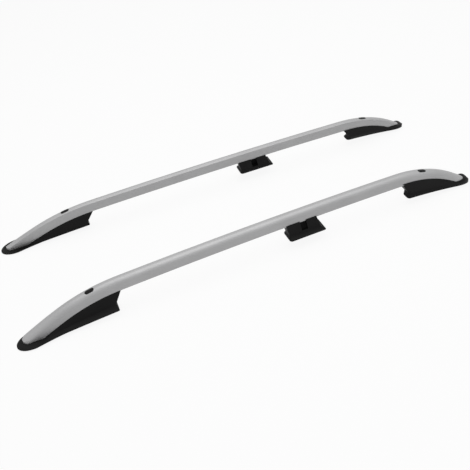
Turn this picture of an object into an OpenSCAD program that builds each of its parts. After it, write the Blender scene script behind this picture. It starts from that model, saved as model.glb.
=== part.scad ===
// Pair of roof side rails: each a bent hollow aluminium rail on two moulded end feet and one middle foot.
// All lengths in millimetres. X runs along the rails, front toe at -X, and Z is up from the roof at the toes.

/* [Rail section] */
// width of the rail profile
rail_w = 32.5; // [28:0.5:40]
// height of the rail profile
rail_h = 43; // [36:0.5:50]
// wall of the hollow profile
rail_wall = 2.8; // [2:0.1:4]
// round of the upper outer edge
outer_round = 14; // [8:0.5:15]
// round of the upper inner edge
inner_round = 3.2; // [3:0.1:6]
// round of the two lower edges
lower_round = 3; // [2.5:0.1:4]

/* [Rail line] */
// length of the front run on the toe
front_run = 195.6; // [170:0.1:220]
// turn along the front run, in degrees
front_run_turn = 5.75; // [3:0.05:8]
// length of the front bend
front_bend = 236; // [210:0.1:260]
// turn of the front bend, in degrees
front_bend_turn = 19.5; // [16:0.1:22]
// length of the long middle run
middle_run = 1156; // [1100:1:1220]
// turn along the middle run, in degrees
middle_run_turn = 3; // [2:0.1:4]
// length of the rear bend
rear_bend = 270.8; // [250:0.1:300]
// turn of the rear bend, in degrees
rear_bend_turn = 32; // [28:0.1:34]
// length of the rear run on the toe
rear_run = 97.1; // [80:0.1:120]
// turn along the rear run, in degrees
rear_run_turn = 2; // [1:0.1:4]
// depth of the centre line below the roof at the front toe
front_sink = 17.2; // [14:0.1:20]
// depth of the centre line below the roof at the rear toe
rear_sink = 12.6; // [10:0.1:16]

/* [Place on the roof] */
// distance between the two rails' base lines at mid length
spacing = 529; // [500:1:1100]
// lean of each rail towards the other, in degrees
lean = 9; // [0:0.5:12]
// turn of each rail towards the other at the rear, in degrees
toe_in = 0.8; // [0:0.1:2]
// height of the roof's crown above the toes
crown_rise = 43; // [30:0.5:50]
// place of the crown, from the front toe
crown_at = 1180; // [1100:5:1260]

/* [End feet] */
// base length of the front foot
front_foot = 375; // [340:1:400]
// base length of the rear foot
rear_foot = 293; // [270:1:320]
// how far the saddle reaches past the base at the inner end
saddle_reach = 29; // [15:1:40]
// how far the waist is cut in behind the base at the inner end
waist_cut = 14; // [6:1:20]
// half width of every foot's base flange
base_half = 31.5; // [28:0.5:36]
// length of the rounded toe
toe_round = 46; // [30:1:60]
// height of the lip round the toe above the gasket
lip_h = 11; // [8:0.5:14]
// height of the rail's trimmed edge above the gasket
trim_h = 5; // [3:0.5:7]
// distance from the toe's tip to the rail's rounded end
tip_gap = 14; // [10:0.5:20]
// extra radius of the rail's rounded ends over half its width
tip_ease = 1.5; // [1:0.25:4]
// thickness of the base flange
flange_t = 3; // [2:0.25:4]
// wall of the feet
foot_wall = 2.8; // [2:0.1:4]
// height that the cheeks rise beside the rail's lower edge
cheek = 1.2; // [0.5:0.1:2]

/* [Middle foot] */
// start of the middle foot's saddle, from the front toe
middle_at = 1070; // [1000:1:1120]
// length of the middle foot's saddle
middle_top = 126; // [110:1:140]
// set-back of the base at its front end
middle_front_set = 4; // [0:0.5:8]
// overhang of the base at its rear end
middle_rear_set = 24; // [12:0.5:30]
// length of the side slots
slot_len = 24; // [14:0.5:30]
// depth of the side slots below the rail
slot_drop = 34; // [20:0.5:38]

/* [Gaskets] */
// thickness of the rubber gaskets
gasket_t = 2; // [1.5:0.1:3]
// set-back of the gaskets behind the feet's edge
gasket_set = 0.8; // [0.4:0.1:2]

/* [Caps and screws] */
// place of the front cap, from the front toe
front_cap_at = 295; // [280:1:310]
// place of the rear cap, from the rear toe
rear_cap_at = 227; // [215:1:240]
// length of the oval caps
cap_len = 33; // [30:0.5:38]
// width of the oval caps
cap_w = 20; // [18:0.5:22]
// height that the caps stand above the rail
cap_h = 0.9; // [0.6:0.1:1.5]
// rim of the caps that rests on the rail
cap_rim = 2; // [1.5:0.1:3]
// radius of the end bolts
bolt_r = 4; // [3:0.5:5]
// radius of the bolt heads
head_r = 6.5; // [5.5:0.25:7]
// height of the bolt heads
head_h = 8; // [6:0.5:9]
// length of the bolts below their heads
bolt_len = 25; // [20:1:28]
// radius of the middle foot's screws
screw_r = 2.5; // [2:0.25:3]
// distance between the middle foot's screws
screw_pitch = 32; // [28:1:36]

/* [Brackets] */
// radius of the bracket posts
post_r = 10; // [9:0.25:11]
// radius of the bracket bosses on the roof
boss_r = 12; // [11:0.25:13]
// height of the bracket bosses
boss_h = 14; // [12:0.5:18]
// radius of the tapped hole for the roof's stud
stud_r = 3.4; // [2.5:0.1:4.2]
// depth of the tapped hole
stud_depth = 18; // [14:0.5:20]
// thickness of the middle bracket's top pad
pad_t = 5; // [4:0.5:6]

/* [Hidden] */
$fn = 48;

// clearance between seated pieces
seat = 0.05;
// running clearance round posts and bosses in the feet
slip = 0.2;
// share of a foot's height where its waist lies, and share of the flare reached there
waist_t = 0.77;
waist_s = 0.36;
// levels down a foot's side that each loft ring follows
levels = [0, 0.3, 0.55, 0.77, 0.88, 1];

// rail line: five arcs, each a length and a downward turn
runs = [[front_run, front_run_turn], [front_bend, front_bend_turn], [middle_run, middle_run_turn],
  [rear_bend, rear_bend_turn], [rear_run, rear_run_turn]];
function arc_r(i) = runs[i][0] * 180 / (PI * runs[i][1]);
function turned(i) = i == 0 ? 0 : turned(i - 1) + runs[i - 1][1];
// knots of the line drawn level from the origin
function flat_knot(i) = i == 0 ? [0, 0]
  : let (p = flat_knot(i - 1), r = arc_r(i - 1), a = -turned(i - 1), b = -turned(i))
    [p[0] + r * (sin(a) - sin(b)), p[1] + r * (cos(b) - cos(a))];
flat_end = flat_knot(5);
chord = norm(flat_end);
// pitch at the front toe that puts both toes at their depth
pitch = asin((front_sink - rear_sink) / chord) - atan2(flat_end[1], flat_end[0]);
rail_len = sqrt(chord * chord - pow(front_sink - rear_sink, 2));
front_x = -rail_len / 2;
rear_x = rail_len / 2;
function knot(i) = let (p = flat_knot(i))
  [front_x + p[0] * cos(pitch) - p[1] * sin(pitch), p[0] * sin(pitch) + p[1] * cos(pitch) - front_sink];
function heading(i) = pitch - turned(i);
function arc_c(i) = let (p = knot(i), h = heading(i), r = arc_r(i)) [p[0] + r * sin(h), p[1] - r * cos(h)];
// X at which arc i begins on the line that runs d above the centre line
function arc_x(i, d) = arc_c(i)[0] - (arc_r(i) + d) * sin(heading(i));
function arc_at(x, d, i = 4) = i == 0 || x >= arc_x(i, d) ? i : arc_at(x, d, i - 1);
function line_h(x, d) = let (i = arc_at(x, d), c = arc_c(i), r = arc_r(i) + d) c[1] + sqrt(r * r - pow(x - c[0], 2));
function line_pitch(x) = let (i = arc_at(x, 0), c = arc_c(i)) -asin((x - c[0]) / arc_r(i));

// roof line under the gaskets: a parabola before the crown, a faster fall behind it
crown_x = front_x + crown_at;
function roof_z(x) = x < crown_x ? crown_rise * (1 - pow((crown_x - x) / (crown_x - front_x), 2))
  : crown_rise * (1 - pow((x - crown_x) / (rear_x - crown_x), 3));
function base_z(x) = roof_z(x) + gasket_t;

front_cap_x = front_x + front_cap_at;
rear_cap_x = rear_x - rear_cap_at;
middle_x = front_x + middle_at + (middle_top + middle_rear_set) / 2;

// corner of the rail profile: points from angle a to b round [u, v], in n steps
function corner(u, v, r, a, b, n) = [for (i = [0:n]) let (t = a + (b - a) * i / n) [u + r * cos(t), v + r * sin(t)]];
// rail profile as [outward, up] points, grown by g: outer edge, round top, inner edge
function profile(g) = let (w = rail_w / 2 + g, h = rail_h / 2 + g, ro = outer_round + g, ri = inner_round + g,
  rl = lower_round + g)
    concat(corner(w - rl, -h + rl, rl, -90, 0, 2), corner(w - ro, h - ro, ro, 0, 90, 7),
      corner(-w + ri, h - ri, ri, 90, 180, 2), corner(-w + rl, -h + rl, rl, 180, 270, 2));

// steps along each arc of the rail line
arc_steps = [3, 8, 6, 12, 1];
// profile ring at share f of arc i
function bar_ring(i, f, g) = let (c = arc_c(i), h = heading(i) - f * runs[i][1])
  [for (p = profile(g)) let (r = arc_r(i) + p[1], w = c[1] + r * cos(h))
    [c[0] - r * sin(h), p[0] * cos(lean) - w * sin(lean), p[0] * sin(lean) + w * cos(lean)]];
function bar_rings(a, b, g) = [for (i = [a:b]) for (j = [i == a ? 0 : 1:arc_steps[i]]) bar_ring(i, j / arc_steps[i], g)];

// solid bar of the rail from arc a to arc b, grown by g, kept to the stations about within d of x
module bar(a, b, g, x = 0, d = 10000) {
  loft([for (r = bar_rings(a, b, g)) if (abs(r[0][0] - x) < d) r], true);
}

// hollow rail over all five arcs
module tube() {
  out = bar_rings(0, 4, 0);
  bore = bar_rings(0, 4, -rail_wall);
  n = len(out[0]);
  m = len(out);
  q = n * m;
  walls = [for (i = [0:m - 2]) for (j = [0:n - 1])
    let (a = i * n + j, b = i * n + (j + 1) % n, c = b + n, d = a + n)
      for (f = [[a, c, b], [a, d, c], [q + a, q + b, q + c], [q + a, q + c, q + d]]) f];
  ends = [for (e = [0, 1]) for (j = [0:n - 1])
    let (o = e * (m - 1) * n, a = o + j, b = o + (j + 1) % n, c = q + b, d = q + a)
      for (f = [[a, b, c], [a, c, d]]) e == 0 ? f : [f[0], f[2], f[1]]];
  polyhedron(points = [for (r = concat(out, bore)) for (p = r) p], faces = concat(walls, ends), convexity = 6);
}

// frame of the leaning rail: x along, y outward, z up the lean
module leaned() {
  rotate([lean, 0, 0]) children();
}

// frame on the rail's centre line at x, z square to the rail
module on_rail(x) {
  leaned() translate([x, 0, line_h(x, 0)]) rotate([0, -line_pitch(x), 0]) children();
}

// what is trimmed off the rail at one end: all below the trimmed edge and all beyond the rounded end
module end_trim(e, g) {
  x = e < 0 ? front_x : rear_x;
  slope = atan((base_z(x - e * 110) - base_z(x - e * 10)) / 100);
  translate([x, 0, base_z(x) + trim_h - g])
    rotate([0, e * slope, 0])
      translate([e < 0 ? -60 : -200, -rail_w * 2, -120]) cube([260, rail_w * 4, 120]);
  leaned()
    translate([x - e * (tip_gap + rail_w / 2 + tip_ease), 0, 0])
      difference() {
        translate([e < 0 ? -100 : 0, -rail_w, -120]) cube([100, rail_w * 2, 200]);
        translate([0, 0, -130]) cylinder(r = rail_w / 2 + tip_ease + g, h = 220);
      }
}

module stadium(len, w) {
  union() {
    square([len - w, w], center = true);
    for (s = [-1, 1]) translate([s * (len - w) / 2, 0]) circle(d = w);
  }
}

module rail() {
  color("silver") difference() {
    tube();
    end_trim(-1, 0);
    end_trim(1, 0);
    for (x = [front_cap_x, rear_cap_x]) on_rail(x) {
      linear_extrude(rail_h) stadium(cap_len - 2 * cap_rim, cap_w - 2 * cap_rim);
      translate([0, 0, -rail_h]) cylinder(r = bolt_r + 0.5, h = rail_h);
    }
    for (s = [-1, 1]) on_rail(middle_x)
      translate([s * screw_pitch / 2, 0, -rail_h]) cylinder(r = screw_r + 0.3, h = rail_h);
  }
}

// share of the flare reached at level t: a slab side with a skirt (m = 1) or a rounded toe (m = 0)
function skirt(t) = t < waist_t ? waist_s * t / waist_t
  : waist_s + (1 - waist_s) * pow((t - waist_t) / (1 - waist_t), 1.7);
function flare(t, m) = m * skirt(t) + (1 - m) * sqrt(max(0, 1 - (1 - t) * (1 - t)));
function end_line(t, top, waist, base) = t < waist_t ? top + (waist - top) * t / waist_t
  : waist + (base - waist) * pow((t - waist_t) / (1 - waist_t), 1.7);

// height of the rail's lower edge on side s
function edge_z(x, s) = line_h(x, -rail_h / 2) * cos(lean) + s * rail_w / 2 * sin(lean) + cheek;

// one side of a loft ring, from the saddle down to the flange; k is the wall taken off
function side_pts(s, xt, xw, xb, hu, hb, zu, m, k) =
  let (zf = base_z(xb) + flange_t, yu = s * (hu / cos(lean) - k) - zu * tan(lean), yf = s * (hb - k) - zf * tan(lean))
    [for (t = levels) [end_line(t, xt, xw, xb), yu + (yf - yu) * flare(t, m), zu - k * 1.3 + (zf - zu + k * 1.3) * t]];
function flip(v) = [for (i = [len(v) - 1:-1:0]) v[i]];
function ring(xt, xw, xb, hu, hb, zo, zi, m, k) =
  let (o = side_pts(1, xt, xw, xb, hu, hb, zo, m, k), i = side_pts(-1, xt, xw, xb, hu, hb, zi, m, k), n = len(levels) - 1,
    z = base_z(xb) - (k > 0 ? 4 : 0))
    concat([[xb, o[n][1], z]], flip(o), i, [[xb, i[n][1], z]]);

// lofted solid through rings of equal length, closed by a fan or by strips at both ends
module loft(rings, fan = false) {
  n = len(rings[0]);
  m = len(rings);
  up = rings[m - 1][0][0] > rings[0][0][0];
  function way(f) = up ? [f[0], f[2], f[1]] : f;
  pts = [for (r = rings) for (p = r) p];
  walls = [for (i = [0:m - 2]) for (j = [0:n - 1])
    let (a = i * n + j, b = i * n + (j + 1) % n, c = b + n, d = a + n)
      for (f = [[a, b, c], [a, c, d]]) way(f)];
  strips = [for (e = [0, 1]) for (j = [0:n / 2 - 2])
    let (o = e * (m - 1) * n, a = o + j, b = o + j + 1, c = o + n - 2 - j, d = o + n - 1 - j)
      for (f = [[a, c, b], [a, d, c]]) way(e == 0 ? f : [f[0], f[2], f[1]])];
  fans = [for (e = [0, 1]) for (j = [1:n - 2])
    let (o = e * (m - 1) * n, f = [o, o + j + 1, o + j]) way(e == 0 ? f : [f[0], f[2], f[1]])];
  polyhedron(points = pts, faces = concat(walls, fan ? fans : strips), convexity = 6);
}

// end foot: e is -1 at the front and 1 at the rear, d is the distance from the toe's tip along the base
function foot_len(e) = e < 0 ? front_foot : rear_foot;
function tip_x(e) = e < 0 ? front_x : rear_x;
function toe_half(d) = base_half * (d < toe_round ? sqrt(1 - pow(1 - d / toe_round, 2)) : 1);
function reach(e, d) = pow(max(0, (d - foot_len(e) + 120) / 120), 1.4);
function end_ring(e, d, k, c) =
  let (hb = toe_half(d) - c, hu = min(rail_w / 2, toe_half(d) * rail_w / 2 / base_half) - c / 2,
    xb = tip_x(e) - e * d, xt = xb - e * saddle_reach * reach(e, d), xw = xb + e * waist_cut * reach(e, d),
    lip = base_z(xb) + lip_h * sqrt(1 - pow(1 - min(1, d / 14), 2)),
    m = min(1, max(0, (d - 60) / 60)))
    ring(xt, xw, xb, hu, hb, max(lip, edge_z(xt, 1)), max(lip, edge_z(xt, -1)), m, k);
function end_steps(e) = concat([for (i = [0:14]) 0.5 + (foot_len(e) - 4) * pow(i / 14, 1.6)], []);

module end_shell(e) {
  l = foot_len(e);
  loft(concat([for (d = end_steps(e)) end_ring(e, d, 0, 0)], [end_ring(e, l, 0, 3)]));
}

// moulded pocket between two distances from the toe
module end_pocket(e, a, b) {
  loft([for (i = [0:3]) end_ring(e, a + (b - a) * i / 3, foot_wall, 0)]);
}

// bracket places: top on the rail, boss on the roof
function boss_x(x) = let (h = line_pitch(x), drop = line_h(x, -rail_h / 2) * cos(lean) - base_z(x) - boss_h / 2)
  x + drop / cos(lean) * tan(h);
function boss_y(x) = -(base_z(boss_x(x)) + boss_h / 2) * tan(lean);
function boss_z(x) = base_z(boss_x(x)) + 1;

module post_line(x, r, top, extra) {
  on_rail(x) translate([0, 0, -rail_h / 2 - (line_h(x, -rail_h / 2) * cos(lean) - base_z(x) - boss_h) / cos(lean) - extra])
    cylinder(r = r, h = (line_h(x, -rail_h / 2) * cos(lean) - base_z(x) - boss_h) / cos(lean) + extra + top);
}

module boss(x, r, below, above) {
  translate([boss_x(x), boss_y(x), boss_z(x) - below]) cylinder(r = r, h = boss_h + below + above);
}

module end_foot(e) {
  x = e < 0 ? front_cap_x : rear_cap_x;
  l = foot_len(e);
  mid = abs(tip_x(e) - boss_x(x));
  color("dimgray") difference() {
    end_shell(e);
    difference() {
      bar(e < 0 ? 0 : 2, e < 0 ? 2 : 4, seat, tip_x(e), l + 250);
      end_trim(e, seat);
    }
    for (p = [[46, 104], [107, 165], [168, mid - 30]]) if (p[1] > p[0] + 12) end_pocket(e, p[0], min(p[1], mid - 30));
    end_pocket(e, mid - 27, mid - boss_r - 4);
    end_pocket(e, mid + boss_r + 4, l - 9);
    boss(x, boss_r + slip, 20, slip);
    post_line(x, post_r + slip, 5, 8);
  }
}

// middle foot: s runs from 0 at its front end to 1 at its rear end
function mid_ring(s, k, c) =
  let (x0 = front_x + middle_at, x1 = x0 + middle_top,
    xt = x0 + s * (x1 - x0), b0 = x0 + middle_front_set, b1 = x1 + middle_rear_set, xb = b0 + s * (b1 - b0),
    w0 = x0 + middle_front_set + 4, w1 = x1 + middle_rear_set * 0.5, xw = w0 + s * (w1 - w0))
    ring(xt, xw, xb, rail_w / 2 - c / 2, base_half - c, edge_z(xt, 1), edge_z(xt, -1), 1, k);

module middle_foot() {
  color("dimgray") difference() {
    loft([mid_ring(0, 0, 3), mid_ring(0.025, 0, 0), mid_ring(0.5, 0, 0), mid_ring(0.975, 0, 0), mid_ring(1, 0, 3)]);
    bar(2, 2, seat);
    loft([mid_ring(0.04, foot_wall, 0), mid_ring(0.2, foot_wall, 0)]);
    loft([mid_ring(0.225, foot_wall, 0), mid_ring(0.775, foot_wall, 0)]);
    loft([mid_ring(0.8, foot_wall, 0), mid_ring(0.96, foot_wall, 0)]);
    on_rail(middle_x) {
      translate([-pad_len / 2 - slip, -pad_w / 2 - slip, -rail_h / 2 - pad_t * 2])
        cube([pad_len + 2 * slip, pad_w + 2 * slip, pad_t * 3]);
      translate([0, base_half * 2, -rail_h / 2 - slot_drop]) rotate([90, 0, 0])
        linear_extrude(base_half * 4)
          polygon([[-slot_len / 2 + 4, 0], [slot_len / 2 + 4, 0], [slot_len / 2 - 2, slot_drop + 5],
            [-slot_len / 2 - 2, slot_drop + 5]]);
    }
  }
}

// gasket strip under a foot through stations of [x, half width]
module gasket(stations, x) {
  pts = [for (p = stations) let (y = -base_z(p[0]) * tan(lean), w = p[1] - gasket_set)
    [[p[0], y + w, roof_z(p[0])], [p[0], y + w, base_z(p[0])], [p[0], y - w, base_z(p[0])], [p[0], y - w, roof_z(p[0])]]];
  color("#222222") difference() {
    loft(pts);
    translate([boss_x(x), boss_y(x), -20]) cylinder(r = boss_r + 1, h = 100);
  }
}

module end_gasket(e) {
  l = foot_len(e);
  gasket(concat([for (d = end_steps(e)) [tip_x(e) - e * d, toe_half(d)]], [[tip_x(e) - e * l, base_half - 3]]),
    e < 0 ? front_cap_x : rear_cap_x);
}

module middle_gasket() {
  x0 = front_x + middle_at + middle_front_set;
  l = middle_top + middle_rear_set - middle_front_set;
  gasket([for (p = [[0, 3], [0.025, 0], [0.5, 0], [0.975, 0], [1, 3]]) [x0 + l * p[0], base_half - p[1]]], middle_x);
}

pad_len = screw_pitch + 14;
pad_w = 20;

module end_bracket(e) {
  x = e < 0 ? front_cap_x : rear_cap_x;
  color("lightgray") difference() {
    union() {
      difference() {
        post_line(x, post_r, 2, boss_h / 2);
        bar(e < 0 ? 0 : 3, e < 0 ? 2 : 4, 0, x, 70);
      }
      boss(x, boss_r, 0, 0);
    }
    translate([boss_x(x), boss_y(x), boss_z(x) - 1]) cylinder(r = stud_r, h = stud_depth + 1);
    on_rail(x) translate([0, 0, -rail_h / 2 + rail_wall - bolt_len - 1]) cylinder(r = bolt_r + seat, h = bolt_len + 2);
  }
}

module middle_bracket() {
  color("lightgray") difference() {
    union() {
      post_line(middle_x, post_r, -pad_t / 2, boss_h / 2);
      boss(middle_x, boss_r, 0, 0);
      difference() {
        on_rail(middle_x) difference() {
          translate([-pad_len / 2, -pad_w / 2, -rail_h / 2 - pad_t]) cube([pad_len, pad_w, pad_t]);
          for (s = [-1, 1]) translate([s * screw_pitch / 2, 0, -rail_h]) cylinder(r = screw_r + 0.3, h = rail_h);
        }
        bar(2, 2, 0, middle_x, middle_top * 2);
      }
    }
    translate([boss_x(middle_x), boss_y(middle_x), boss_z(middle_x) - 1]) cylinder(r = stud_r, h = stud_depth + 1);
  }
}

module cap(x) {
  a = x < 0 ? 0 : 3;
  b = x < 0 ? 2 : 4;
  color("#1a1a1a") union() {
    difference() {
      intersection() {
        bar(a, b, cap_h, x, 70);
        on_rail(x) linear_extrude(rail_h) stadium(cap_len, cap_w);
      }
      bar(a, b, 0, x, 70);
    }
    intersection() {
      bar(a, b, cap_h, x, 70);
      on_rail(x) translate([0, 0, rail_h / 2 - rail_wall - 4])
        linear_extrude(rail_h) stadium(cap_len - 2 * cap_rim - 0.3, cap_w - 2 * cap_rim - 0.3);
    }
  }
}

module end_bolt(x) {
  color("gray") on_rail(x) translate([0, 0, -rail_h / 2 + rail_wall]) difference() {
    union() {
      cylinder(r = head_r, h = head_h);
      translate([0, 0, -bolt_len]) cylinder(r = bolt_r, h = bolt_len + 1);
    }
    translate([0, 0, head_h - 4]) cylinder(d = 6 / cos(30), h = 5, $fn = 6);
  }
}

module middle_screws() {
  color("gray") on_rail(middle_x) for (s = [-1, 1]) translate([s * screw_pitch / 2, 0, -rail_h / 2 - pad_t])
    difference() {
      union() {
        translate([0, 0, -screw_r * 2]) cylinder(r = screw_r * 1.7, h = screw_r * 2);
        cylinder(r = screw_r, h = pad_t + rail_wall + 5);
      }
      translate([0, 0, -screw_r * 2 - 1]) cylinder(r = screw_r * 0.92, h = screw_r + 1, $fn = 6);
    }
}

module middle_nut() {
  color("gray") on_rail(middle_x) translate([0, 0, -rail_h / 2 + rail_wall]) difference() {
    translate([-pad_len / 2, -9, 0]) cube([pad_len, 18, 4]);
    for (s = [-1, 1]) translate([s * screw_pitch / 2, 0, -1]) cylinder(r = screw_r + seat, h = 6);
  }
}

// a rail's place: the left one stands at +Y and the right one is its mirror image
module left() {
  translate([0, spacing / 2, 0]) rotate([0, 0, -toe_in]) children();
}

module right() {
  mirror([0, 1, 0]) left() children();
}

module left_rail() { left() rail(); }
module left_front_foot() { left() end_foot(-1); }
module left_middle_foot() { left() middle_foot(); }
module left_rear_foot() { left() end_foot(1); }
module left_front_gasket() { left() end_gasket(-1); }
module left_middle_gasket() { left() middle_gasket(); }
module left_rear_gasket() { left() end_gasket(1); }
module left_front_bracket() { left() end_bracket(-1); }
module left_middle_bracket() { left() middle_bracket(); }
module left_rear_bracket() { left() end_bracket(1); }
module left_front_cap() { left() cap(front_cap_x); }
module left_rear_cap() { left() cap(rear_cap_x); }
module left_front_bolt() { left() end_bolt(front_cap_x); }
module left_rear_bolt() { left() end_bolt(rear_cap_x); }
module left_middle_screws() { left() middle_screws(); }
module left_middle_nut() { left() middle_nut(); }
module right_rail() { right() rail(); }
module right_front_foot() { right() end_foot(-1); }
module right_middle_foot() { right() middle_foot(); }
module right_rear_foot() { right() end_foot(1); }
module right_front_gasket() { right() end_gasket(-1); }
module right_middle_gasket() { right() middle_gasket(); }
module right_rear_gasket() { right() end_gasket(1); }
module right_front_bracket() { right() end_bracket(-1); }
module right_middle_bracket() { right() middle_bracket(); }
module right_rear_bracket() { right() end_bracket(1); }
module right_front_cap() { right() cap(front_cap_x); }
module right_rear_cap() { right() cap(rear_cap_x); }
module right_front_bolt() { right() end_bolt(front_cap_x); }
module right_rear_bolt() { right() end_bolt(rear_cap_x); }
module right_middle_screws() { right() middle_screws(); }
module right_middle_nut() { right() middle_nut(); }

left_rail();
left_front_foot();
left_middle_foot();
left_rear_foot();
left_front_gasket();
left_middle_gasket();
left_rear_gasket();
left_front_bracket();
left_middle_bracket();
left_rear_bracket();
left_front_cap();
left_rear_cap();
left_front_bolt();
left_rear_bolt();
left_middle_screws();
left_middle_nut();
right_rail();
right_front_foot();
right_middle_foot();
right_rear_foot();
right_front_gasket();
right_middle_gasket();
right_rear_gasket();
right_front_bracket();
right_middle_bracket();
right_rear_bracket();
right_front_cap();
right_rear_cap();
right_front_bolt();
right_rear_bolt();
right_middle_screws();
right_middle_nut();
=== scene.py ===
import math
import bmesh
import bpy
from mathutils import Matrix, Vector


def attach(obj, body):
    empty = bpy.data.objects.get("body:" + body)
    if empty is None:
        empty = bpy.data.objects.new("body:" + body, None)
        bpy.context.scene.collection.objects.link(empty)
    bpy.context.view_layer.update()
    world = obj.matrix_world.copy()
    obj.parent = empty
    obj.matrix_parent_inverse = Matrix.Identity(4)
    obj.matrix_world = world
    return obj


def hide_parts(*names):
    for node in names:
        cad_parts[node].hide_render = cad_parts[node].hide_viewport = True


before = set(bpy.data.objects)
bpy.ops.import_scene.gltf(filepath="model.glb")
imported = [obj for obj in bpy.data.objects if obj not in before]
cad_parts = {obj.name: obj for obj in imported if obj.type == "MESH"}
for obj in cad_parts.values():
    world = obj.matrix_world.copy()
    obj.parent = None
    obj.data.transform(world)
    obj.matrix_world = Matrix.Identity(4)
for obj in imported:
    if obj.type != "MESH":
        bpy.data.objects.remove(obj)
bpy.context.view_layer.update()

# Lengths are in millimetres, in the left rail's own frame, unless a line says otherwise.
FRONT, REAR = -1, 1                     # the two ends, as signs of X
END_NAME = {FRONT: "front", REAR: "rear"}

# ---- sizes shared with the CAD ----
# The rail's line is five tangent arcs from front to rear: length, and turn in degrees.
RUNS = [(195.6, 5.75), (236.0, 19.5), (1156.0, 3.0), (270.8, 32.0), (97.1, 2.0)]
SINK_F, SINK_R = 17.2, 12.6             # how far its ends lie below the toes' undersides
SPACING = 529.0                         # between the two rails' base lines
LEAN, TOE_IN = math.radians(9.0), math.radians(0.8)
CROWN, CROWN_AT = 43.0, 1180.0          # height of the roof line, and where from the front end
GASKET, GASKET_SET = 2.0, 0.8           # the gaskets' thickness, and their inset
FLANGE = 3.0                            # height of the feet's base flange
BOSS, BOSS_H = 12.0, 14.0               # the brackets' bosses: radius, height, places in x and y
STUDS = {"front": (-645.4, -4.5), "middle": (195.0, -8.2), "rear": (711.8, -6.2)}

# ---- sizes of the finer outer forms, as the photograph shows them ----
# rail: section, its edge rounds, and its ends
RAIL_W, RAIL_H = 33.5, 46.0
R_OUT, R_IN, R_LOW = 20.0, 3.2, 3.0     # outer top edge, inner top edge, lower edges
TIP = {FRONT: 25.5, REAR: 18.5}         # from the foot's tip to the rail's
TIP_EASE = 1.5                          # extra radius of the tip's round
POINTED = {FRONT: 1.5, REAR: 0.9}       # that round's length over its radius
COVER = 3.0                             # how far the rail's end reaches below the lip

# end feet, along X
FOOT_LEN = {FRONT: 379.0, REAR: 303.0}
LONGER = {FRONT: -2.5, REAR: 4.0}       # how far the tip passes the end of the rail's line
TOE, FADE = 68.0, 112.0                 # the toe's round, and the change of width behind it
INNER_FADE, INNER_POWER = 120.0, 1.4    # stretch over which the inner end takes its slope
REACH = {FRONT: 28.0, REAR: 22.0}       # how far the top passes the base at the inner end
WAIST = {FRONT: 4.5, REAR: 8.0}         # how far the inner end is cut in at the waist
END_ROUND = {FRONT: 3.0, REAR: 11.0}    # corners of the base at the inner end
SKIRT_IN = 80.0                         # stretch over which the side takes its waist

# end feet, across and upright
TOE_W = {FRONT: 43.0, REAR: 21.5}       # half width at the toe
BASE_W = {FRONT: 32.5, REAR: 21.0}      # half width at the inner end
WIDTH_POWER = 1.4                       # of the change between them
TOP_FAST = 1.2                          # how much faster the top widens from the tip
SHIFT = {FRONT: -3.2, REAR: 0.0}        # the base's shift, outwards where negative
LIP = {FRONT: 10.5, REAR: 31.0}         # height of the lip round the toe
LIP_IN = {FRONT: 0.0, REAR: 3.0}        # what the inner side adds to it
LIP_ROUND = 28.0                        # stretch over which it rises from the tip
CHEEK_T = 1.5                           # how far the feet's cheeks stand out from the rail
# their height over the rail's lower edges, at the toe and the inner end; there the outer one
# is higher and the inner one lower by TILT
CHEEK = {FRONT: (0.0, 1.8), REAR: (27.5, 6.5)}
TILT = 2.8

# a foot's side: share of the way down and of the flare at its waist, and the flare's power
WAIST_T, WAIST_M, FLARE = 0.77, 0.36, 1.7
LEVELS = [0, .03, .1, .2, .3, .4, .5, .6, .68, .74, .77, .8, .83, .86, .89, .92, .95, .98, 1.0]
DRAWN = 3.0                             # where a base corner draws in by this, its top has by 1

# middle foot: front edge and length at the rail; the base's edges lie MID_F and MID_R behind
MID_AT, MID_TOP, MID_F, MID_R = 1066.0, 128.0, 4.0, 29.4
MID_WAIST = 5.25                        # from the base's front edge to the waist's
MID_W, MID_SHIFT = 33.5, 1.5            # the base's half width, and its shift inwards
MID_ROUND, MID_ROUND_R = 11.0, 3.0      # its front and rear corners
MID_CHEEK, MID_TILT = 4.2, 1.6          # as CHEEK and TILT, all along
SLOT_L, SLOT_D, SLOT_LEAN = 26.0, 36.0, 3.0  # length, depth below the rail, half its lean
SLOT_IN, SLOT_AT = 12.6, 8.0            # middle plane to its floor; shift behind the foot's centre

# caps: centres from the two ends of the rail's line; length, width and height
CAP_F, CAP_R = 306.0, 226.5
CAP_L, CAP_W, CAP_H = 36.0, 18.0, 0.9
# share of the outline, and height: a share of CAP_H above the rail's skin, or mm below it
CAP_STEPS = [(1.0, -0.6), (1.0, 0.25), (0.985, 0.6), (0.95, 0.85),
             (0.9, 0.95), (0.8, 0.98), (0.6, 1.0), (0.3, 1.02)]

# gaskets: lower edge; start behind the end foot's tip, and what the length is short by
GASKET_EDGE, GASKET_START, GASKET_SHORT = 0.4, 0.9, 1.2

# cutters: room round a boss in the feet and gaskets, and how far they reach past the part
HOLE_ROOM, HOLE_ROOM_GASKET = 0.8, 0.4
CUT_LOW, CUT_HIGH, CUT_SIDE, SLOT_OUT = -40, 90, 60, 70

# mesh: steps of the five arcs, and of the rounds and ends
RUN_STEPS = (14, 48, 90, 64, 8)
EDGE_STEPS, ROUND_STEPS, TIP_STEPS, END_STEPS = 6, 16, 40, 5
CAP_POINTS, DISC_POINTS = 64, 48
# stations of an end foot: the first, their number, the power that crowds them at the toe;
# and steps of the middle foot
FOOT_START, FOOT_STEPS, FOOT_POWER, MID_STEPS = 0.5, 70, 1.7, 12
WELD = 1e-4
# bevels: width, least angle and segments; and the angles up to which faces shade as one
RAIL_EDGE, FOOT_EDGE = (0.7, 50, 2), (0.8, 38, 3)
RAIL_SMOOTH, FOOT_SMOOTH, CAP_SMOOTH, GASKET_SMOOTH = 40, 35, 50, 30

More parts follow.
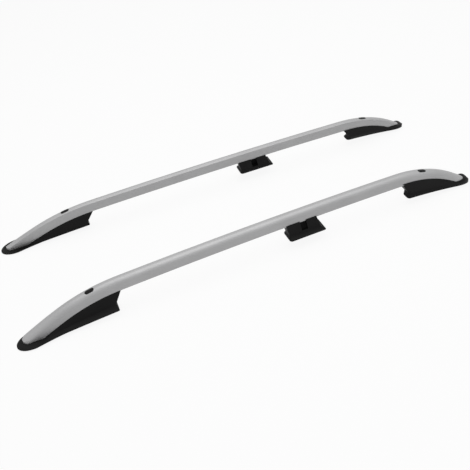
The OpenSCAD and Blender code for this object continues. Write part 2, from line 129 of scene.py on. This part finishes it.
CL, SL, TL = math.cos(LEAN), math.sin(LEAN), math.tan(LEAN)


# ---- the rail's line ----
def arc_r(i):
    return RUNS[i][0] / math.radians(RUNS[i][1])


def turned(i):
    return math.radians(sum(t for _, t in RUNS[:i]))


flat = [(0.0, 0.0)]
for i in range(len(RUNS)):
    a, b, r = -turned(i), -turned(i + 1), arc_r(i)
    x, z = flat[-1]
    flat.append((x + r * (math.sin(a) - math.sin(b)), z + r * (math.cos(b) - math.cos(a))))

CHORD = math.hypot(*flat[-1])
PITCH = math.asin((SINK_F - SINK_R) / CHORD) - math.atan2(flat[-1][1], flat[-1][0])
LEN = math.sqrt(CHORD ** 2 - (SINK_F - SINK_R) ** 2)
FX, RX = -LEN / 2, LEN / 2
knots = [(FX + x * math.cos(PITCH) - z * math.sin(PITCH),
          x * math.sin(PITCH) + z * math.cos(PITCH) - SINK_F) for x, z in flat]


def heading(i):
    return PITCH - turned(i)


centres = [(knots[i][0] + arc_r(i) * math.sin(heading(i)),
            knots[i][1] - arc_r(i) * math.cos(heading(i))) for i in range(len(RUNS))]


def arc_at(x, d):
    """arc that holds x, on the rail's line moved out by d"""
    for i in range(len(RUNS) - 1, 0, -1):
        if x >= centres[i][0] - (arc_r(i) + d) * math.sin(heading(i)):
            return i
    return 0


def line_h(x, d):
    """height at x of the rail's line moved out by d"""
    i = arc_at(x, d)
    return centres[i][1] + math.sqrt((arc_r(i) + d) ** 2 - (x - centres[i][0]) ** 2)


def line_pitch(x):
    i = arc_at(x, 0)
    return -math.asin((x - centres[i][0]) / arc_r(i))


CX = FX + CROWN_AT


def roof_z(x):
    """roof line: a parabola before the crown and a cubic behind it"""
    x = min(max(x, FX), RX)
    if x < CX:
        return CROWN * (1 - ((CX - x) / (CX - FX)) ** 2)
    return CROWN * (1 - ((x - CX) / (RX - CX)) ** 3)


def base_z(x):
    return roof_z(x) + GASKET


def tip_x(e):
    """where an end foot's tip lies"""
    return (FX if e == FRONT else RX) + e * LONGER[e]


def lean(x, u, w):
    """a point u across and w up in the rail's leaning plane"""
    return (x, u * CL - w * SL, u * SL + w * CL)


# ---- mesh helpers ----
def add(name, data):
    ob = bpy.data.objects.new(name, data)
    bpy.context.scene.collection.objects.link(ob)
    return ob


def discard(ob):
    me = ob.data
    bpy.data.objects.remove(ob)
    bpy.data.meshes.remove(me)


def corner(u, v, r, a, b, n):
    """arc of n steps round (u, v), from a to b degrees"""
    turns = [math.radians(a + (b - a) * i / n) for i in range(n + 1)]
    return [(u + r * math.cos(t), v + r * math.sin(t)) for t in turns]


def profile():
    w, h = RAIL_W / 2, RAIL_H / 2
    return (corner(w - R_LOW, -h + R_LOW, R_LOW, -90, 0, EDGE_STEPS)
            + corner(w - R_OUT, h - R_OUT, R_OUT, 0, 90, ROUND_STEPS)
            + corner(-w + R_IN, h - R_IN, R_IN, 90, 180, EDGE_STEPS)
            + corner(-w + R_LOW, -h + R_LOW, R_LOW, 180, 270, EDGE_STEPS))


def bar_ring(i, f, pts):
    """the section at a share f of arc i"""
    c, r0 = centres[i], arc_r(i)
    h = heading(i) - f * math.radians(RUNS[i][1])
    return [lean(c[0] - (r0 + v) * math.sin(h), u, c[1] + (r0 + v) * math.cos(h)) for u, v in pts]


def skin(rings, strips=False):
    """closed surface through rings of equal length; each end is one face, or strips across"""
    n, m = len(rings[0]), len(rings)
    verts = [p for r in rings for p in r]
    faces = [(i * n + j, i * n + (j + 1) % n, (i + 1) * n + (j + 1) % n, (i + 1) * n + j)
             for i in range(m - 1) for j in range(n)]
    for o in (0, (m - 1) * n):
        if strips:
            end = [(o + j, o + j + 1, o + n - 2 - j, o + n - 1 - j) for j in range(n // 2 - 1)]
        else:
            end = [tuple(range(o, o + n))]
        faces += end if o else [tuple(reversed(f)) for f in end]
    return verts, faces


def to_object(name, verts, faces):
    me = bpy.data.meshes.new(name)
    me.from_pydata([Vector(v) for v in verts], [], faces)
    bm = bmesh.new()
    bm.from_mesh(me)
    bmesh.ops.remove_doubles(bm, verts=bm.verts, dist=WELD)
    bmesh.ops.recalc_face_normals(bm, faces=bm.faces)
    bm.to_mesh(me)
    bm.free()
    return add(name, me)


def apply_mods(ob):
    dg = bpy.context.evaluated_depsgraph_get()
    me = bpy.data.meshes.new_from_object(ob.evaluated_get(dg))
    old = ob.data
    ob.modifiers.clear()
    ob.data = me
    bpy.data.meshes.remove(old)


def cut(ob, cutters):
    """take the cutters away; where the piece has a material, they leave theirs on the cuts"""
    for c in cutters:
        m = ob.modifiers.new("cut", "BOOLEAN")
        m.operation, m.object, m.solver = "DIFFERENCE", c, "EXACT"
        m.material_mode = "TRANSFER" if ob.data.materials else "INDEX"
    apply_mods(ob)
    for c in cutters:
        discard(c)


def bevel(ob, width, angle, segments):
    m = ob.modifiers.new("bevel", "BEVEL")
    m.width, m.segments = width, segments
    m.limit_method, m.angle_limit = "ANGLE", math.radians(angle)
    apply_mods(ob)


def smooth(ob, angle):
    bm = bmesh.new()
    bm.from_mesh(ob.data)
    for f in bm.faces:
        f.smooth = True
    for e in bm.edges:
        e.smooth = len(e.link_faces) == 2 and e.calc_face_angle(0) < math.radians(angle)
    bm.to_mesh(ob.data)
    bm.free()


def prism(name, outline, z0, z1, place):
    n = len(outline)
    verts = [place @ Vector((x, y, z)) for z in (z0, z1) for x, y in outline]
    faces = [tuple(reversed(range(n))), tuple(range(n, 2 * n))]
    faces += [(j, (j + 1) % n, n + (j + 1) % n, n + j) for j in range(n)]
    return to_object(name, verts, faces)


def on_rail(x):
    """place on the rail's line at x, with its lean and pitch"""
    return (Matrix.Rotation(LEAN, 4, "X") @ Matrix.Translation((x, 0, line_h(x, 0)))
            @ Matrix.Rotation(-line_pitch(x), 4, "Y"))


# ---- rail ----
def end_cutters(e):
    """what the rail loses at one end: all below a level inside the lip, and round its tip"""
    x, tall, r, out = tip_x(e), RAIL_H * 3, RAIL_W / 2 + TIP_EASE, TOE * 2
    box = [(-out, -CUT_SIDE), (out, -CUT_SIDE), (out, CUT_SIDE), (-out, CUT_SIDE)]
    middle = x - e * TOE * 1.5
    under = prism("under", box, -tall, 0, Matrix.Translation((middle, 0, LIP[e] - COVER)))
    turns = [math.pi / 2 - math.pi * k / TIP_STEPS for k in range(TIP_STEPS + 1)]
    tip = [(0, -CUT_SIDE), (e * out, -CUT_SIDE), (e * out, CUT_SIDE), (0, CUT_SIDE)]
    tip += [(e * POINTED[e] * r * math.cos(a), r * math.sin(a)) for a in turns]
    place = Matrix.Translation((x - e * (TIP[e] + POINTED[e] * r), 0, 0))
    return [under, prism("tip", tip, -tall, tall, Matrix.Rotation(LEAN, 4, "X") @ place)]


def make_rail():
    pts = profile()
    rings = [bar_ring(0, 0, pts)]
    for i, n in enumerate(RUN_STEPS):
        rings += [bar_ring(i, j / n, pts) for j in range(1, n + 1)]
    ob = to_object("rail", *skin(rings))
    cut(ob, end_cutters(FRONT) + end_cutters(REAR))
    bevel(ob, *RAIL_EDGE)
    smooth(ob, RAIL_SMOOTH)
    return ob


# ---- feet ----
def disc(part, r, z0, z1):
    """round cutter where the bracket's boss stands"""
    x, y = STUDS[part]
    turns = [2 * math.pi * k / DISC_POINTS for k in range(DISC_POINTS)]
    pts = [(x + r * math.cos(t), y + r * math.sin(t)) for t in turns]
    return prism("hole", pts, z0, z1, Matrix())


def boss_room(part):
    """room in the foot for the bracket's boss, open underneath"""
    return disc(part, BOSS + HOLE_ROOM, CUT_LOW, base_z(STUDS[part][0]) + BOSS_H)


def below_waist(t):
    """share of the way from the waist out to the base"""
    return ((t - WAIST_T) / (1 - WAIST_T)) ** FLARE


def flare(t, m):
    """share of the side's flare at a share t of its height: waisted for m 1, round for m 0"""
    skirt = WAIST_M * t / WAIST_T if t < WAIST_T else WAIST_M + (1 - WAIST_M) * below_waist(t)
    return m * skirt + (1 - m) * math.sqrt(max(0.0, 1 - (1 - t) ** 2))


def end_line(t, top, waist, base):
    """x at a share t of the height, by way of the waist"""
    if t < WAIST_T:
        return top + (waist - top) * t / WAIST_T
    return waist + (base - waist) * below_waist(t)


def edge_z(x, s):
    """height of the rail's lower edge, outside for s 1 and inside for s -1"""
    return line_h(x, -RAIL_H / 2) * CL + s * RAIL_W / 2 * SL


def ring(xt, xw, xb, hu, hb, zo, zi, m, sh):
    """a foot's section: x at top, waist and base; half widths at top and base; heights of
    the top outside and inside; how waisted it is; the base's shift"""
    def side(s, zu):
        zf = base_z(xb) + FLANGE
        yu, yf = s * hu / CL - zu * TL - sh * (1 - m), s * hb - zf * TL - sh
        return [(end_line(t, xt, xw, xb), yu + (yf - yu) * flare(t, m), zu + (zf - zu) * t)
                for t in LEVELS]
    o, i = side(1, zo), side(-1, zi)
    z = base_z(xb)
    return [(xb, o[-1][1], z)] + o[::-1] + i + [(xb, i[-1][1], z)]


def toe_half(e, d):
    """half width of the base at a distance d from the tip"""
    if d < TOE:
        return TOE_W[e] * math.sqrt(max(0, 1 - (1 - d / TOE) ** 2))
    return BASE_W[e] + (TOE_W[e] - BASE_W[e]) * max(0, 1 - (d - TOE) / FADE) ** WIDTH_POWER


def top_z(e, d, x, xb, s):
    """height of the top: the lip at the toe, and the cheek where that is higher"""
    f = d / FOOT_LEN[e]
    z, high = base_z(xb), LIP[e] + (LIP_IN[e] if s < 0 else 0)
    lip = z + (high - z) * math.sqrt(1 - (1 - min(1, d / LIP_ROUND)) ** 2)
    toe, inner = CHEEK[e]
    cheek = 0 if d < LIP_ROUND else toe + (inner - toe) * f + s * TILT * f
    return max(lip, edge_z(x, s) + cheek)


def end_ring(e, d, c):
    """section at a distance d from the tip, drawn in by c"""
    k = max(0.0, (d - FOOT_LEN[e] + INNER_FADE) / INNER_FADE) ** INNER_POWER
    hc, half = RAIL_W / 2 + CHEEK_T, toe_half(e, d)
    hu = min(hc, half * TOP_FAST * hc / TOE_W[e]) - min(c, DRAWN) / DRAWN
    xb = tip_x(e) - e * d
    xt, xw = xb - e * REACH[e] * k, xb + e * WAIST[e] * k
    zo, zi = top_z(e, d, xt, xb, 1), top_z(e, d, xt, xb, -1)
    return ring(xt, xw, xb, hu, half - c, zo, zi, min(1, max(0, (d - TOE) / SKIRT_IN)), SHIFT[e])


def rounded_end(length, r):
    """stations near a square end, and how far each is drawn in, for a corner of radius r"""
    turns = [math.pi / 2 * k / END_STEPS for k in range(END_STEPS + 1)]
    return [(length - r + r * math.sin(t), r - r * math.cos(t)) for t in turns]


def end_stations(e):
    """distances from the tip, and how far each is drawn in"""
    long = FOOT_LEN[e] - END_ROUND[e] - FOOT_START
    spread = [FOOT_START + long * (i / FOOT_STEPS) ** FOOT_POWER for i in range(FOOT_STEPS)]
    return [(d, 0) for d in spread] + rounded_end(FOOT_LEN[e], END_ROUND[e])


def make_end_foot(e):
    rings = [end_ring(e, d, c) for d, c in end_stations(e)]
    ob = to_object("foot", *skin(rings, strips=True))
    cut(ob, [boss_room(END_NAME[e])])
    bevel(ob, *FOOT_EDGE)
    smooth(ob, FOOT_SMOOTH)
    return ob


def mid_ring(s, c):
    """section at a share s of the length, drawn in by c: x0 to x1 is the top, b0 to b1 the
    base and w0 to w1 the waist"""
    x0 = FX + MID_AT
    x1 = x0 + MID_TOP
    b0, b1 = x0 + MID_F, x1 + MID_R
    w0, w1 = b0 + MID_WAIST, x1 + MID_R / 2
    xt = x0 + s * (x1 - x0)
    hu = RAIL_W / 2 + CHEEK_T - min(c, DRAWN) / DRAWN
    zo, zi = edge_z(xt, 1) + MID_CHEEK + MID_TILT, edge_z(xt, -1) + MID_CHEEK - MID_TILT
    return ring(xt, w0 + s * (w1 - w0), b0 + s * (b1 - b0), hu, MID_W - c, zo, zi, 1, MID_SHIFT)


def mid_stations():
    """share of the base's length, and how far it is drawn in, with a rounder front corner"""
    long = MID_TOP + MID_R - MID_F
    front, rear = rounded_end(1.0, MID_ROUND / long), rounded_end(1.0, MID_ROUND_R / long)
    return ([(1 - s, c * long) for s, c in reversed(front)]
            + [(i / MID_STEPS, 0) for i in range(2, MID_STEPS)]
            + [(s, c * long) for s, c in rear])


def make_middle_foot():
    """middle foot with a blind slot in each side, whose cut faces carry painted shade: a
    near-black material in place of the darkness of a deep slot
    """
    rings = [mid_ring(s, c) for s, c in mid_stations()]
    ob = to_object("foot", *skin(rings, strips=True))
    place = (on_rail(FX + MID_AT + MID_TOP / 2 + SLOT_AT)
             @ Matrix.Translation((0, 0, -RAIL_H / 2 - SLOT_D))
             @ Matrix.Rotation(math.pi / 2, 4, "X"))
    half, high = SLOT_L / 2, SLOT_D + MID_CHEEK * 3
    shape = [(-half + SLOT_LEAN, 0), (half + SLOT_LEAN, 0),
             (half - SLOT_LEAN, high), (-half - SLOT_LEAN, high)]
    slots = [prism("slot", shape, z0, z1, place)
             for z0, z1 in ((SLOT_IN, SLOT_OUT), (-SLOT_OUT, -SLOT_IN))]
    ob.data.materials.append(PLASTIC)
    # the slots' cut faces take the painted-shade black, not the plastic
    for c in slots:
        c.data.materials.append(SLOT_PAINTED_SHADE)
    cut(ob, slots + [boss_room("middle")])
    bevel(ob, *FOOT_EDGE)
    smooth(ob, FOOT_SMOOTH)
    return ob


# ---- caps ----
def rail_top(u, g):
    """height over the rail's line, at u across it, of a surface g above its skin"""
    w, ro = RAIL_W / 2, R_OUT
    if u > w - ro:
        return RAIL_H / 2 - ro + math.sqrt(max(0, (ro + g) ** 2 - (u - w + ro) ** 2))
    return RAIL_H / 2 + g


def make_cap(x):
    """oval cap: its rim and crown follow the rail's section and bend"""
    place, pitch, rings = on_rail(x), line_pitch(x), []
    for share, g in CAP_STEPS:
        g = g * CAP_H if g > 0 else g
        rings.append([])
        for k in range(CAP_POINTS):
            a = 2 * math.pi * k / CAP_POINTS
            px, py = CAP_W / 2 * share * math.cos(a), CAP_W / 2 * share * math.sin(a)
            if abs(math.cos(a)) > 1e-9:
                px += math.copysign((CAP_L - CAP_W) / 2 * share, math.cos(a))
            drop = line_h(x + px * math.cos(pitch), 0) - line_h(x, 0) - px * math.sin(pitch)
            pz = rail_top(py, g) + drop / math.cos(pitch)
            rings[-1].append(place @ Vector((px, py, pz)))
    ob = to_object("cap", *skin(rings))
    smooth(ob, CAP_SMOOTH)
    return ob


# ---- gaskets ----
def make_gasket(part, stations):
    """rubber pad under a foot: stations are x, half width and sideways shift"""
    rings, g = [], GASKET_EDGE
    for x, half, sh in stations:
        y, w, z0, z1 = -base_z(x) * TL - sh, half - GASKET_SET, roof_z(x), base_z(x)
        rings.append([(x, y + w - g, z0), (x, y + w, z0 + g), (x, y + w, z1),
                      (x, y - w, z1), (x, y - w, z0 + g), (x, y - w + g, z0)])
    ob = to_object("gasket", *skin(rings))
    cut(ob, [disc(part, BOSS + HOLE_ROOM_GASKET, CUT_LOW, CUT_HIGH)])
    smooth(ob, GASKET_SMOOTH)
    return ob


def end_gasket(e):
    size = 1 - GASKET_SHORT / FOOT_LEN[e]
    inset = [(GASKET_START + (d - FOOT_START) * size, c) for d, c in end_stations(e)]
    stations = [(tip_x(e) - e * d, toe_half(e, d) - c, SHIFT[e]) for d, c in inset]
    return make_gasket(END_NAME[e], stations)


def middle_gasket():
    a = FX + MID_AT + MID_F + GASKET_SET
    b = FX + MID_AT + MID_TOP + MID_R - GASKET_SET
    stations = [(a + (b - a) * s, MID_W - c, MID_SHIFT) for s, c in mid_stations()]
    return make_gasket("middle", stations)


# ---- materials ----
def nodes_of(name):
    m = bpy.data.materials.new(name)
    m.use_nodes = True
    return m, m.node_tree, m.node_tree.nodes["Principled BSDF"]


def noise(nt, scale, detail, rough, stretch=(1, 1, 1)):
    place = nt.nodes.new("ShaderNodeTexCoord")
    sized = nt.nodes.new("ShaderNodeMapping")
    sized.inputs["Scale"].default_value = stretch
    nt.links.new(place.outputs["Object"], sized.inputs["Vector"])
    n = nt.nodes.new("ShaderNodeTexNoise")
    n.inputs["Scale"].default_value = scale
    n.inputs["Detail"].default_value = detail
    n.inputs["Roughness"].default_value = rough
    nt.links.new(sized.outputs["Vector"], n.inputs["Vector"])
    return n.outputs["Fac"]


def ramp(nt, fac, lo, hi):
    r = nt.nodes.new("ShaderNodeMapRange")
    r.inputs["From Min"].default_value, r.inputs["From Max"].default_value = 0.35, 0.65
    r.inputs["To Min"].default_value, r.inputs["To Max"].default_value = lo, hi
    nt.links.new(fac, r.inputs["Value"])
    return r.outputs["Result"]


def tint(nt, fac, lo, hi):
    r = nt.nodes.new("ShaderNodeValToRGB")
    for stop, at, colour in zip(r.color_ramp.elements, (0.3, 0.7), (lo, hi)):
        stop.position, stop.color = at, (*colour, 1)
    nt.links.new(fac, r.inputs["Fac"])
    return r.outputs["Color"]


def bump(nt, height, strength, dist, under=None):
    b = nt.nodes.new("ShaderNodeBump")
    b.inputs["Strength"].default_value = strength
    b.inputs["Distance"].default_value = dist
    nt.links.new(height, b.inputs["Height"])
    if under is not None:
        nt.links.new(under, b.inputs["Normal"])
    return b.outputs["Normal"]


def satin_aluminium():
    """satin metal with faint lines along the rail and a fine grain"""
    m, nt, p = nodes_of("satin_aluminium")
    lines = noise(nt, scale=6.0, detail=3, rough=0.6, stretch=(1.2, 260, 260))
    grain = noise(nt, scale=2600, detail=2, rough=0.6)
    cloud = noise(nt, scale=9, detail=3, rough=0.5)
    colour = tint(nt, cloud, (0.40, 0.40, 0.403), (0.43, 0.43, 0.433))
    nt.links.new(colour, p.inputs["Base Color"])
    p.inputs["Metallic"].default_value = 0.65
    nt.links.new(ramp(nt, lines, 0.54, 0.62), p.inputs["Roughness"])
    brushed = bump(nt, lines, strength=0.12, dist=0.00004)
    grained = bump(nt, grain, strength=0.10, dist=0.00002, under=brushed)
    nt.links.new(grained, p.inputs["Normal"])
    return m


def moulded(name, dark, light, rough, grain_scale, strength):
    """black material: darkest and lightest grey, roughness, scale and strength of its grain"""
    m, nt, p = nodes_of(name)
    grain = noise(nt, scale=grain_scale, detail=3, rough=0.6)
    cloud = noise(nt, scale=14, detail=3, rough=0.5)
    nt.links.new(tint(nt, cloud, (dark,) * 3, (light,) * 3), p.inputs["Base Color"])
    nt.links.new(ramp(nt, cloud, rough - 0.05, rough + 0.05), p.inputs["Roughness"])
    p.inputs["Specular IOR Level"].default_value = 0.1
    nt.links.new(bump(nt, grain, strength, dist=0.00008), p.inputs["Normal"])
    return m


def zinc_steel():
    m, nt, p = nodes_of("zinc_steel")
    grain = noise(nt, scale=900, detail=3, rough=0.6)
    nt.links.new(tint(nt, grain, (0.42, 0.42, 0.43), (0.55, 0.55, 0.56)), p.inputs["Base Color"])
    p.inputs["Metallic"].default_value = 1.0
    nt.links.new(ramp(nt, grain, 0.3, 0.42), p.inputs["Roughness"])
    nt.links.new(bump(nt, grain, strength=0.1, dist=0.00003), p.inputs["Normal"])
    return m


SILVER = satin_aluminium()
PLASTIC = moulded("grained_black_plastic", 0.005, 0.009, 0.5, 1500, 0.25)
CAPMAT = moulded("smooth_black_plastic", 0.004, 0.007, 0.4, 2500, 0.08)
# painted shade: a near-black, matt material for the slots' cut faces, standing in for the shade
# inside a deep slot
SLOT_PAINTED_SHADE = moulded("slot_painted_shade_black", 0.001, 0.002, 0.8, 900, 0.2)
RUBBER = moulded("black_rubber", 0.008, 0.014, 0.75, 700, 0.3)
COATED = moulded("black_coated_casting", 0.014, 0.022, 0.45, 500, 0.35)
STEEL = zinc_steel()

# ---- place the pieces ----
PLACE = Matrix.Translation((0, SPACING / 2, 0)) @ Matrix.Rotation(-TOE_IN, 4, "Z")


def dress(ob, part, mat):
    """left copy in the frame, right copy as its mirror image; each replaces its CAD node.
    The middle foot keeps the two materials it was made with."""
    for side, flip in (("left", 1), ("right", -1)):
        me = ob.data.copy()
        me.transform(Matrix.Scale(0.001, 4) @ Matrix.Diagonal((1, flip, 1, 1)) @ PLACE)
        if flip < 0:
            me.flip_normals()
        me.name = side + "_" + part + "_skin"
        new = add(me.name, me)
        if part != "middle_foot":
            me.materials.clear()
            me.materials.append(mat)
        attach(new, "root")
        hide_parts(side + "_" + part)
    discard(ob)


dress(make_rail(), "rail", SILVER)
dress(make_end_foot(FRONT), "front_foot", PLASTIC)
dress(make_end_foot(REAR), "rear_foot", PLASTIC)
dress(make_middle_foot(), "middle_foot", PLASTIC)
dress(make_cap(FX + CAP_F), "front_cap", CAPMAT)
dress(make_cap(RX - CAP_R), "rear_cap", CAPMAT)
dress(end_gasket(FRONT), "front_gasket", RUBBER)
dress(end_gasket(REAR), "rear_gasket", RUBBER)
dress(middle_gasket(), "middle_gasket", RUBBER)

HIDDEN_PARTS = {"bracket": COATED, "bolt": STEEL, "screws": STEEL, "nut": STEEL}
for name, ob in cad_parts.items():
    mat = HIDDEN_PARTS.get(name.split("_")[-1])
    if mat:
        for s in ob.material_slots:
            s.material = mat


# ---- floor, world, light ----
def seen_rays(nt):
    """1 for a ray from the camera or a reflection, 0 for any other"""
    rays = nt.nodes.new("ShaderNodeLightPath")
    seen = nt.nodes.new("ShaderNodeMath")
    seen.operation = "MAXIMUM"
    nt.links.new(rays.outputs["Is Camera Ray"], seen.inputs[0])
    nt.links.new(rays.outputs["Is Glossy Ray"], seen.inputs[1])
    return seen.outputs[0]


def floor_white(share):
    """diffuse white that keeps shadows, with a share of plain white where it is seen"""
    m = bpy.data.materials.new("floor_white")
    m.use_nodes = True
    nt = m.node_tree
    nt.nodes.clear()
    out = nt.nodes.new("ShaderNodeOutputMaterial")
    matt = nt.nodes.new("ShaderNodeBsdfDiffuse")
    matt.inputs["Color"].default_value = (0.9, 0.9, 0.9, 1)
    white = nt.nodes.new("ShaderNodeEmission")
    white.inputs["Strength"].default_value = 1.0
    part = nt.nodes.new("ShaderNodeMath")
    part.operation = "MULTIPLY"
    part.inputs[1].default_value = share
    mix = nt.nodes.new("ShaderNodeMixShader")
    nt.links.new(seen_rays(nt), part.inputs[0])
    nt.links.new(part.outputs[0], mix.inputs[0])
    nt.links.new(matt.outputs[0], mix.inputs[1])
    nt.links.new(white.outputs[0], mix.inputs[2])
    nt.links.new(mix.outputs[0], out.inputs[0])
    return m


def make_floor():
    bm = bmesh.new()
    bmesh.ops.create_grid(bm, x_segments=8, y_segments=8, size=30)
    me = bpy.data.meshes.new("floor")
    bm.to_mesh(me)
    bm.free()
    ob = add("floor", me)
    me.materials.append(floor_white(0.9))


def make_world():
    """white where it is seen, and a dimmer fill light for everything else"""
    world = bpy.data.worlds.new("studio")
    bpy.context.scene.world = world
    world.use_nodes = True
    nt = world.node_tree
    bg = nt.nodes["Background"]
    bg.inputs["Color"].default_value = (1, 1, 1, 1)
    level = nt.nodes.new("ShaderNodeMapRange")
    level.inputs["To Min"].default_value, level.inputs["To Max"].default_value = 0.45, 1.0
    nt.links.new(seen_rays(nt), level.inputs["Value"])
    nt.links.new(level.outputs["Result"], bg.inputs["Strength"])


def make_light(name, loc, target, size, power):
    """rectangular light, in metres and watts"""
    li = bpy.data.lights.new(name, "AREA")
    li.shape, li.energy = "RECTANGLE", power
    li.size, li.size_y = size
    ob = add(name, li)
    ob.location = loc
    ob.rotation_euler = (Vector(target) - Vector(loc)).to_track_quat("-Z", "Y").to_euler()


make_floor()
make_world()
make_light("top_softbox", loc=(0.2, 0.1, 3.2), target=(0.1, 0, 0), size=(4.0, 3.4), power=66)

# ---- camera at the photograph's angle: metres, degrees, and pixels of the picture ----
CAM_AT = (-0.571851, -1.962700, 1.687135)
CAM_AZ, CAM_EL, CAM_ROLL = 15.886, 40.974, -8.528
CAM_FOCUS, PHOTO_W, SENSOR = 635.667, 470, 36


def make_camera():
    az, el, roll = math.radians(CAM_AZ), math.radians(CAM_EL), math.radians(CAM_ROLL)
    ahead = Vector((math.sin(az) * math.cos(el), math.cos(az) * math.cos(el), -math.sin(el)))
    right = Vector((math.cos(az), -math.sin(az), 0))
    up = right.cross(ahead)
    x_axis = right * math.cos(roll) + up * math.sin(roll)
    y_axis = -right * math.sin(roll) + up * math.cos(roll)
    cam = bpy.data.cameras.new("camera")
    cam.sensor_width = SENSOR
    cam.lens = CAM_FOCUS / PHOTO_W * SENSOR
    cam.clip_end = 100
    ob = add("camera", cam)
    turn = Matrix((x_axis, y_axis, -ahead)).transposed().to_4x4()
    ob.matrix_world = Matrix.Translation(CAM_AT) @ turn
    bpy.context.scene.camera = ob


make_camera()
bpy.context.scene.view_settings.view_transform = "Standard"
